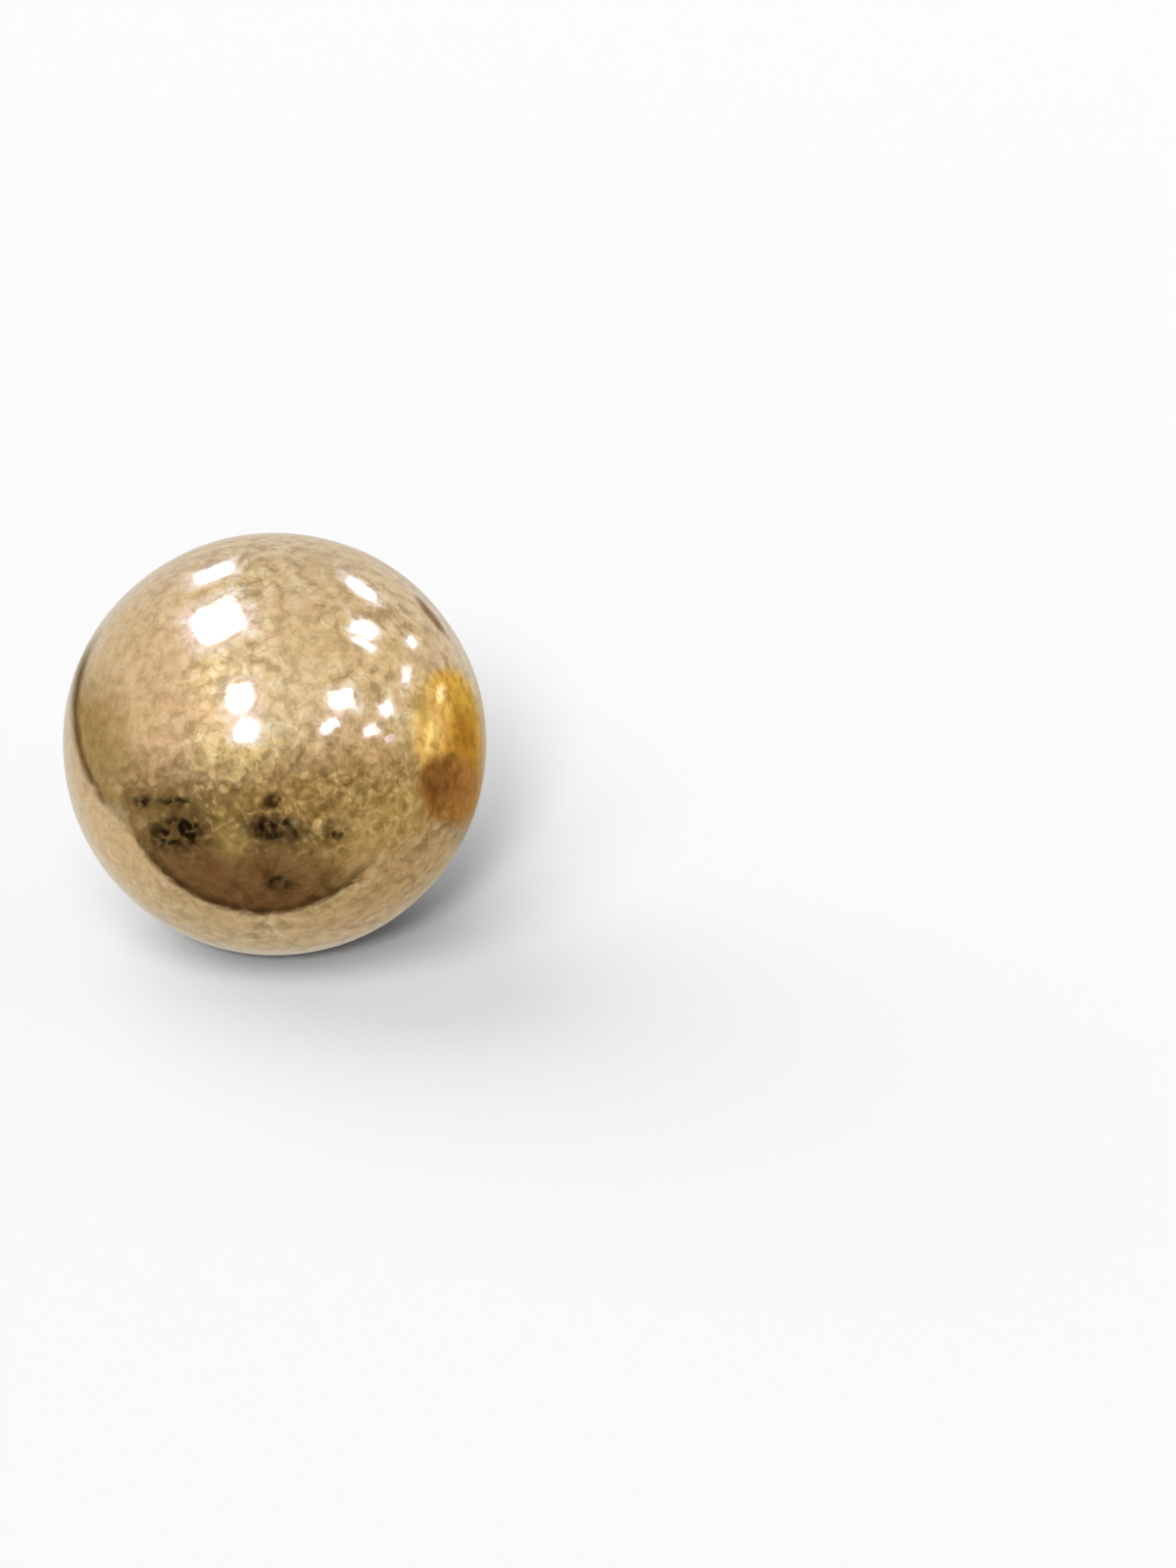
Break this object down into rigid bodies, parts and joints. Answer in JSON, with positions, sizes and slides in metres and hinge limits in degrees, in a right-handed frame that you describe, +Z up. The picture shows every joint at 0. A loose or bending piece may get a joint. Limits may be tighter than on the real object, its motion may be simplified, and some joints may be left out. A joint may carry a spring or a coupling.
{
  "type": "ball stud earring",
  "caption": "Stud earring: a round gold-leaf glass ball, drilled at the back and glued on the peg of a gold-plated ear post with a shallow cup.",
  "frame": {"origin": "on the floor under the middle of the resting stud's bounding box", "axes": "+Z up; the ball's front faces -Y and slightly up, and the post points to +Y and down to the floor; the stud's own axis lies in the YZ plane"},
  "size_m": [0.012, 0.0214, 0.012],
  "materials": {
    "gold_leaf_glass": "crinkled pale gold leaf under a clear, fire-polished glass skin; opaque and mirror glossy",
    "gold_plate": "polished gold plate with fine drawing marks along the post"
  },
  "bodies": {
    "root": {"gold_leaf_ball": "gold_leaf_glass", "ear_post": "gold_plate"}
  },
  "joints": []
}
